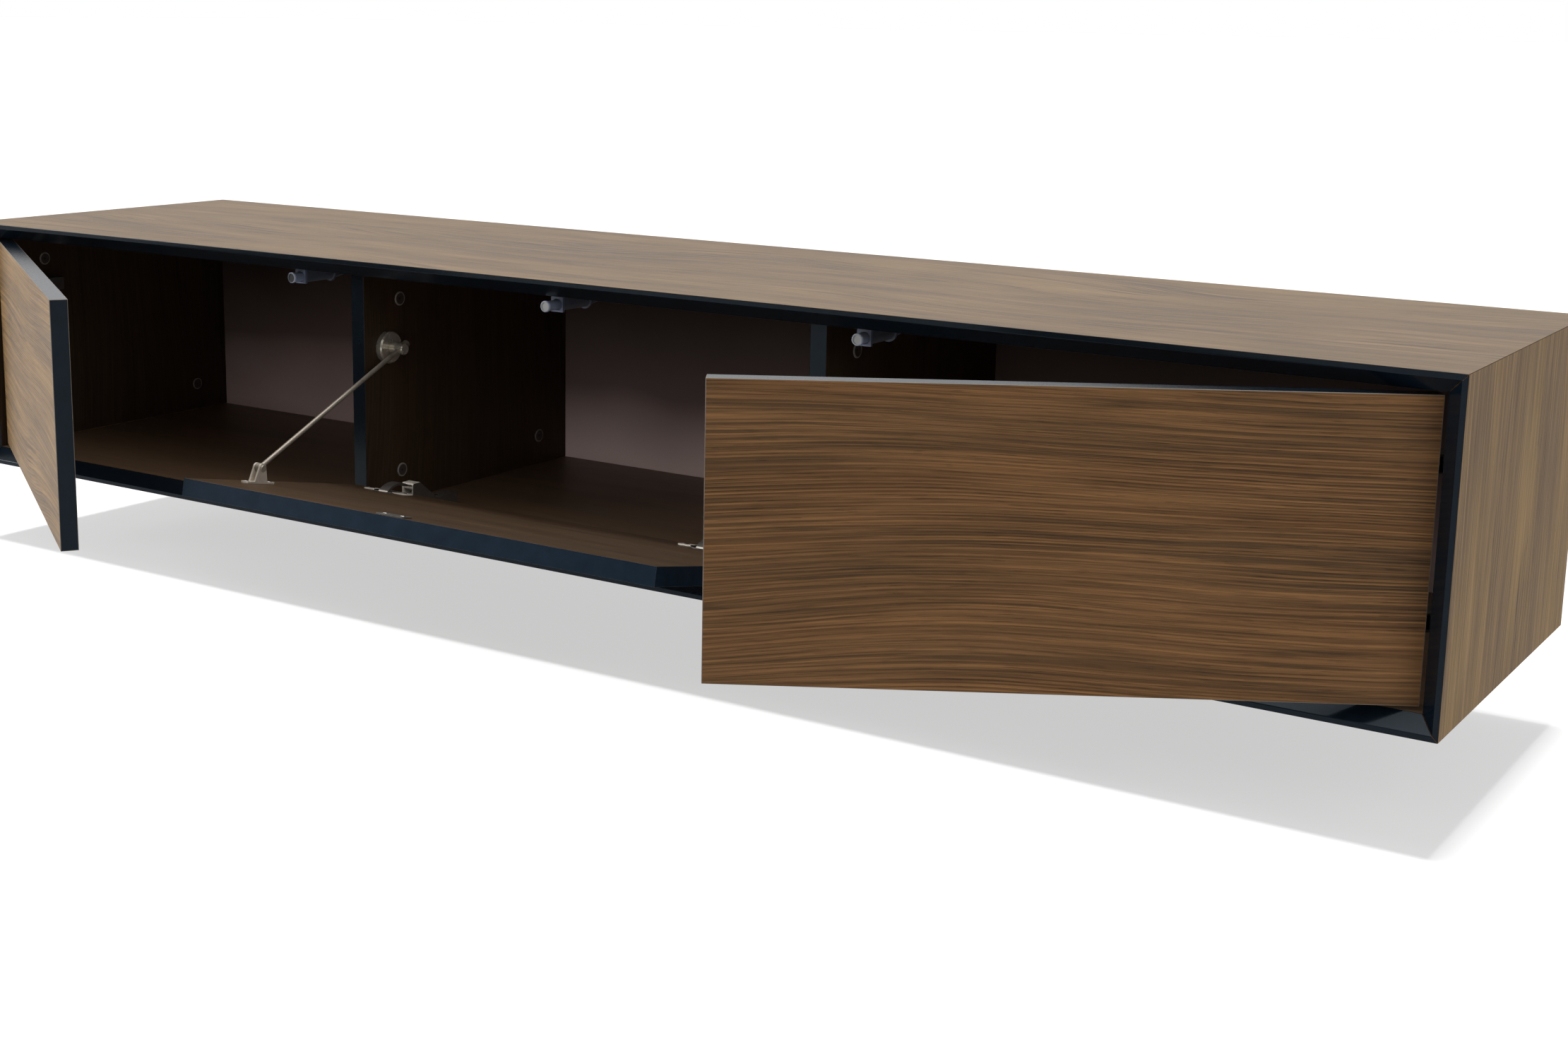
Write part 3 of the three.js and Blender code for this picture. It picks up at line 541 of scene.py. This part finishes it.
FRONT_OF = {"left": "left_door", "right": "right_door", "flap": "drop_flap"}
for node in sorted(nodes):
    if node.startswith("hinge_cup"):
        side = node.split("_")[2]
        skin(node, [highlight_nickel, shaded_nickel], METAL_ROUND, flange_highlight_pick(FRONT_OF[side]))
    elif node.startswith("hinge_arm"):
        skin(node, [highlight_nickel, shaded_nickel], METAL_ROUND, nose_highlight_pick(node))
    # Hinge plates and strike plates take the shaded nickel: painted shade
    elif node.startswith(("hinge_plate", "strike_plate")):
        skin(node, [shaded_nickel], METAL_ROUND)
    elif node == "stay_bracket":
        skin(node, [nickel], METAL_ROUND)
    elif node in ("stay_disc", "stay_guide", "stay_pin"):
        skin(node, [chrome], METAL_ROUND)
    elif node == "stay_rod":
        skin(node, [rod_plate], METAL_ROUND)

# Depths from a latch's front end, and the radius of the pad in its tip
MOUTH_DEPTH = 0.0032
PAD_DEPTH, PAD_RADIUS = 0.0012, 0.0042


def latch_pick(node):
    """The housing's square mouth is paler than the rest."""
    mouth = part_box(node)[0].y + MOUTH_DEPTH
    return lambda centre, normal: 1 if centre.y < mouth else 0


def plunger_pick(node):
    """A pad or socket in the middle of the tip, and a pale rim round it. A socket is painted black,
    as painted shade.
    """
    low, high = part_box(node)
    middle = (low + high) / 2

    def pick(centre, normal):
        from_axis = math.hypot(centre.x - middle.x, centre.z - middle.z)
        if centre.y < low.y + PAD_DEPTH and from_axis < PAD_RADIUS:
            return 1
        return 2 if centre.y < low.y + MOUTH_DEPTH else 0
    return pick


for side in ("left", "right", "flap"):
    housing, plunger = "latch_housing_" + side, "latch_plunger_" + side
    tip = recess_shade_black if side == "left" else pad_plastic
    # The housing's rounded edges take the pale plastic as painted highlight
    skin(housing, [dark_plastic, sleeve_plastic, rim_and_highlight_plastic], HOUSING_ROUND,
         latch_pick(housing), rounding=2)
    skin(plunger, [blue_plastic, tip, rim_and_highlight_plastic], PLUNGER_ROUND, plunger_pick(plunger),
         segments=3)


# Screws and caps

# Share of its radius that a cross recess has between its points
STAR_WAIST = 0.36


def revolve(shape, place, normal, rings, sides=24):
    """Turned form about a normal. A ring is (radius, height, paint, star) in millimetres. A star
    ring's radius goes in between four points, as a cross recess does."""
    up = normal.normalized()
    side = up.orthogonal().normalized()
    other = up.cross(side)
    made = []
    for radius, height, paint, star in rings:
        middle = place + up * height / 1000
        ring = []
        for i in range(sides if radius else 1):
            reach = radius * (STAR_WAIST if star and i % (sides // 4) else 1) / 1000
            turn = 2 * math.pi * i / sides
            corner = middle + side * math.cos(turn) * reach + other * math.sin(turn) * reach
            ring.append(shape.verts.new(corner))
        made.append((ring, paint))
    for (low, _), (high, paint) in zip(made, made[1:]):
        for i in range(sides):
            j = (i + 1) % sides
            corners = [low[i % len(low)], low[j % len(low)],
                       high[j % len(high)], high[i % len(high)]]
            face = shape.faces.new(list(dict.fromkeys(corners)))
            face.material_index = paint
            face.smooth = True


def piece(name, body, finishes, shape):
    bmesh.ops.recalc_face_normals(shape, faces=shape.faces)
    for edge in shape.edges:
        edge.smooth = edge.calc_face_angle(0) < SHARP
    mesh = bpy.data.meshes.new(name)
    shape.to_mesh(mesh)
    shape.free()
    for finish in finishes:
        mesh.materials.append(finish)
    made = bpy.data.objects.new(name, mesh)
    bpy.context.scene.collection.objects.link(made)
    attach(made, body)
    return made


def screws(name, body, places, normal, radius):
    """Screw heads with a cross recess painted black as painted shade, seated on a plate."""
    shape = bmesh.new()
    for place in places:
        rings = [
            (0, -0.6, 0, False), (radius * 0.6, -0.6, 0, False), (radius, 0.02, 0, False),
            (radius, 0.22, 0, False), (radius * 0.86, 0.52, 0, False),
            (radius * 0.62, 0.68, 0, False), (radius * 0.58, 0.66, 0, True),
            (radius * 0.46, -0.3, 1, True), (0, -0.45, 1, False),
        ]
        revolve(shape, *at_rest(body, place, normal), rings)
    return piece("screws_" + name, body, [steel, recess_shade_black], shape)


def pair(reach):
    """Two places equally far on either side."""
    return -reach, reach


# Screws of the hinges, in closed places in millimetres, and their heads' radii
FLANGE_FACE, PLATE_LINE, ARM_SCREWS = 35.5, 71, (68, 84)
CUP_SCREWS, PLATE_SCREWS = pair(23), pair(16)
CUP_HEAD, PLATE_HEAD, ARM_HEAD = 3.2, 3.6, 2.8
INWARD, UP, DOWN = (0, 1, 0), (0, 0, 1), (0, 0, -1)

# The doors' hinges: the sides' edges and the cups', plates' and arms' distances from them
LEFT_EDGE, RIGHT_EDGE, UPPER, LOWER = 21, 1779, 216.5, 83.5
CUP_IN, PLATE_OUT, ARM_IN = 22.5, 0.7, 12.3
for name, door, edge, way, z in (("left_upper", "left_door", LEFT_EDGE, 1, UPPER),
                                 ("left_lower", "left_door", LEFT_EDGE, 1, LOWER),
                                 ("right_upper", "right_door", RIGHT_EDGE, -1, UPPER),
                                 ("right_lower", "right_door", RIGHT_EDGE, -1, LOWER)):
    cup_x, plate_x, arm_x = edge + way * CUP_IN, edge - way * PLATE_OUT, edge + way * ARM_IN
    aside = (way, 0, 0)
    screws("cup_" + name, door, [spot(cup_x, FLANGE_FACE, z + r) for r in CUP_SCREWS],
           INWARD, CUP_HEAD)
    screws("plate_" + name, "carcass", [spot(plate_x, PLATE_LINE, z + r) for r in PLATE_SCREWS],
           aside, PLATE_HEAD)
    screws("arm_" + name, "carcass", [spot(arm_x, y, z) for y in ARM_SCREWS], aside, ARM_HEAD)

# The flap's hinges, and the heights of their cups', plates' and arms' screws
CUP_HEIGHT, PLATE_HEIGHT, ARM_HEIGHT = 44, 20.3, 33.3
for name, x in (("flap_left", 675), ("flap_right", 1090)):
    screws("cup_" + name, "flap", [spot(x + r, FLANGE_FACE, CUP_HEIGHT) for r in CUP_SCREWS],
           INWARD, CUP_HEAD)
    screws("plate_" + name, "carcass",
           [spot(x + r, PLATE_LINE, PLATE_HEIGHT) for r in PLATE_SCREWS], UP, PLATE_HEAD)
    screws("arm_" + name, "carcass", [spot(x, y, ARM_HEIGHT) for y in ARM_SCREWS], UP, ARM_HEAD)

# Screws of the strike plates, the latches' ears and the stay's bracket
STRIKE_HEIGHT, STRIKE_HEAD = 269.5, 2.8
EAR_LINE, EAR_HEIGHT, EAR_HEAD = 48.8, 279.7, 2.9
for side, body, x in (("left", "left_door", 522), ("right", "right_door", 1243),
                      ("flap", "flap", 882.5)):
    screws("strike_" + side, body, [spot(x + r, FLANGE_FACE, STRIKE_HEIGHT) for r in pair(11)],
           INWARD, STRIKE_HEAD)
    screws("latch_" + side, "carcass", [spot(x + r, EAR_LINE, EAR_HEIGHT) for r in pair(12)],
           DOWN, EAR_HEAD)
screws("bracket", "flap", [spot(635.5, 36.3, 202.1 + r) for r in pair(16.5)], INWARD, 3)


CAP_DEPTH = 0.004
CAP_SIDES = 36


def cam_cover(node):
    """A cap with a raised rim and a sunk middle, over the hole of a cam fitting. The sunk middle is
    painted darker and its cross recess black, as painted shade.
    """
    low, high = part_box(node)
    outward = -1 if "side_right" in node else 1
    middle = (low + high) / 2
    face = low.x + CAP_DEPTH if outward > 0 else high.x - CAP_DEPTH
    rings = [
        (0, -4, 0, False), (6.5, -4, 0, False), (6.5, 0.3, 0, False), (7.9, 0.3, 0, False),
        (7.9, 1.0, 0, False), (7.4, 1.45, 0, False), (6.3, 1.5, 0, False), (5.9, 0.9, 1, False),
        (3.4, 0.8, 1, False), (3.1, 0.75, 1, True), (2.6, 0.2, 2, True), (0, 0.1, 2, False),
    ]
    shape = bmesh.new()
    revolve(shape, Vector((face, middle.y, middle.z)), Vector((outward, 0, 0)), rings, CAP_SIDES)
    finishes = [cap_plastic, cap_recess_shade, recess_shade_black]
    made = piece("skin_" + node, "carcass", finishes, shape)
    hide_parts(node)


for node in sorted(nodes):
    if node.startswith("cam_cover"):
        cam_cover(node)


# Stage, lights and camera

# The floor below the box, in metres, its colour, and its glow for the camera and for mirrors
FLOOR_GAP, FLOOR_REACH = 0.1, 60
FLOOR_GREY = 0.20
FLOOR_SHOWN, FLOOR_MIRRORED = 0.575, 0.05

# The world's light on the object, and what a mirror finds of a dim room and a white wall
ROOM_LIGHT = 0.45
DIM_ROOM, WHITE_WALL = 0.12, 0.9
WHITE = (1, 1, 1, 1)


def make_floor():
    """A plain floor that shows white to the camera and keeps the box's shadow."""
    shape = bmesh.new()
    bmesh.ops.create_grid(shape, x_segments=1, y_segments=1, size=FLOOR_REACH)
    mesh = bpy.data.meshes.new("floor")
    shape.to_mesh(mesh)
    shape.free()
    floor = bpy.data.objects.new("floor", mesh)
    floor.location = (0, 0, BOX_CORNER.z - FLOOR_GAP)
    bpy.context.scene.collection.objects.link(floor)
    ground.objects.link(floor)
    made = bpy.data.materials.new("floor")
    made.use_nodes = True
    made.node_tree.nodes.clear()
    n = Build(made.node_tree)
    path = n.node("ShaderNodeLightPath")
    plain = n.node("ShaderNodeBsdfDiffuse")
    plain.inputs["Color"].default_value = (FLOOR_GREY, FLOOR_GREY, FLOOR_GREY, 1)
    glow = n.node("ShaderNodeEmission")
    glow.inputs["Color"].default_value = WHITE
    shown = n.math("MULTIPLY", path.outputs["Is Camera Ray"], FLOOR_SHOWN)
    mirrored = n.math("MULTIPLY", path.outputs["Is Glossy Ray"], FLOOR_MIRRORED)
    n.link(n.math("ADD", shown, mirrored), glow.inputs["Strength"])
    both = n.node("ShaderNodeAddShader")
    n.link(plain.outputs[0], both.inputs[0])
    n.link(glow.outputs[0], both.inputs[1])
    out = n.node("ShaderNodeOutputMaterial")
    n.link(both.outputs[0], out.inputs["Surface"])
    mesh.materials.append(made)


def make_world():
    """White to the camera, an even light on the object, and a room to mirror."""
    world = bpy.data.worlds.new("studio")
    bpy.context.scene.world = world
    world.use_nodes = True
    world.node_tree.nodes.clear()
    n = Build(world.node_tree)
    path = n.node("ShaderNodeLightPath")
    seen = n.math("MAXIMUM", path.outputs["Is Camera Ray"], path.outputs["Is Transmission Ray"])
    glossy = path.outputs["Is Glossy Ray"]
    light = n.node("ShaderNodeBackground")
    light.inputs["Color"].default_value = WHITE

    # Reflections find a white wall behind, above and at the left, and a dim room in front
    x, y, z = n.parts(n.node("ShaderNodeTexCoord").outputs["Generated"])
    behind = n.spread(y, -0.35, 0.15)
    above = n.spread(z, 0.2, 0.8)
    leftward = n.spread(x, -0.6, -0.95)
    wall = n.math("MAXIMUM", behind, n.math("MAXIMUM", above, leftward))
    mirrored = n.math("MULTIPLY", glossy, n.spread(wall, 0.0, 1.0, DIM_ROOM, WHITE_WALL))
    plain = n.math("MULTIPLY", n.math("SUBTRACT", 1.0, glossy), ROOM_LIGHT)
    n.link(n.math("MAXIMUM", n.math("ADD", mirrored, plain), seen), light.inputs["Strength"])
    out = n.node("ShaderNodeOutputWorld")
    n.link(light.outputs[0], out.inputs["Surface"])


def lamp(data, place, direction, shaded_by, lit):
    """Sets up a lamp. Only shaded_by's objects shade it and it lights only lit's, or all if None."""
    made = bpy.data.objects.new(data.name, data)
    bpy.context.scene.collection.objects.link(made)
    made.light_linking.blocker_collection = shaded_by
    made.light_linking.receiver_collection = lit
    made.location = place
    made.rotation_mode = "QUATERNION"
    made.rotation_quaternion = direction.to_track_quat("-Z", "Y")


def softbox(name, place, target, size, energy, shaded_by=None, lit=None):
    data = bpy.data.lights.new(name, "AREA")
    data.shape = "RECTANGLE"
    data.size, data.size_y = size
    data.energy = energy
    lamp(data, place, Vector(target) - Vector(place), shaded_by, lit)


def sun(name, strength, spread, lean, shaded_by, lit=None):
    """A lamp almost straight overhead, whose spread in degrees softens the shadow below."""
    data = bpy.data.lights.new(name, "SUN")
    data.energy = strength
    data.angle = math.radians(spread)
    lamp(data, (0, 0.2, 3), Vector((*lean, -1)), shaded_by, lit)


# The photograph's camera: its size, focal length and centre in pixels, its place and its turn
PHOTO_WIDTH, PHOTO_HEIGHT = 2220, 1482
FOCAL_PIXELS = 3048.4
CENTRE_X, CENTRE_Y = 980.5, 627.5
SENSOR = 36
CAMERA_PLACE = Vector((1.3221, -2.1164, 0.3237))
AZIMUTH, ELEVATION, ROLL = math.radians(34.03), math.radians(11.46), math.radians(0.74)


def make_camera():
    forward = Vector((-math.sin(AZIMUTH) * math.cos(ELEVATION),
                      math.cos(AZIMUTH) * math.cos(ELEVATION),
                      -math.sin(ELEVATION)))
    right = forward.cross(Vector((0, 0, 1))).normalized()
    up = right.cross(forward)
    across = math.cos(ROLL) * right + math.sin(ROLL) * up
    upright = -math.sin(ROLL) * right + math.cos(ROLL) * up
    data = bpy.data.cameras.new("camera")
    data.sensor_width = SENSOR
    data.sensor_fit = "HORIZONTAL"
    data.lens = FOCAL_PIXELS / PHOTO_WIDTH * SENSOR
    data.shift_x = (PHOTO_WIDTH / 2 - CENTRE_X) / PHOTO_WIDTH
    data.shift_y = -(PHOTO_HEIGHT / 2 - CENTRE_Y) / PHOTO_WIDTH
    camera = bpy.data.objects.new("camera", data)
    bpy.context.scene.collection.objects.link(camera)
    stand = Matrix((across, upright, -forward)).transposed().to_4x4()
    stand.translation = CAMERA_PLACE
    camera.matrix_world = stand
    bpy.context.scene.camera = camera


make_floor()
make_world()
sun("sun", 0.9, 10, (0.03, -0.06), shadow_makers)
sun("floor_sun", 7.7, 8, (0.03, 0.02), shadow_makers, ground)
softbox("overhead", (-0.2, -0.3, 3.0), (0, -0.25, 0), (3.2, 2.2), 42, shadow_makers)
softbox("left", (-3.2, -2.4, 1.2), (-0.2, -0.3, 0), (1.3, 1.3), 75)
softbox("right", (3.2, -1.2, 1.6), (0.5, -0.3, 0), (1.6, 2.0), 25)
softbox("bays", (0.9, -3.2, 0.83), (-0.1, 0, -0.2), (2.4, 1.3), 14, lit=bay_backs)
make_camera()

view = bpy.context.scene.view_settings
view.view_transform = "Standard"
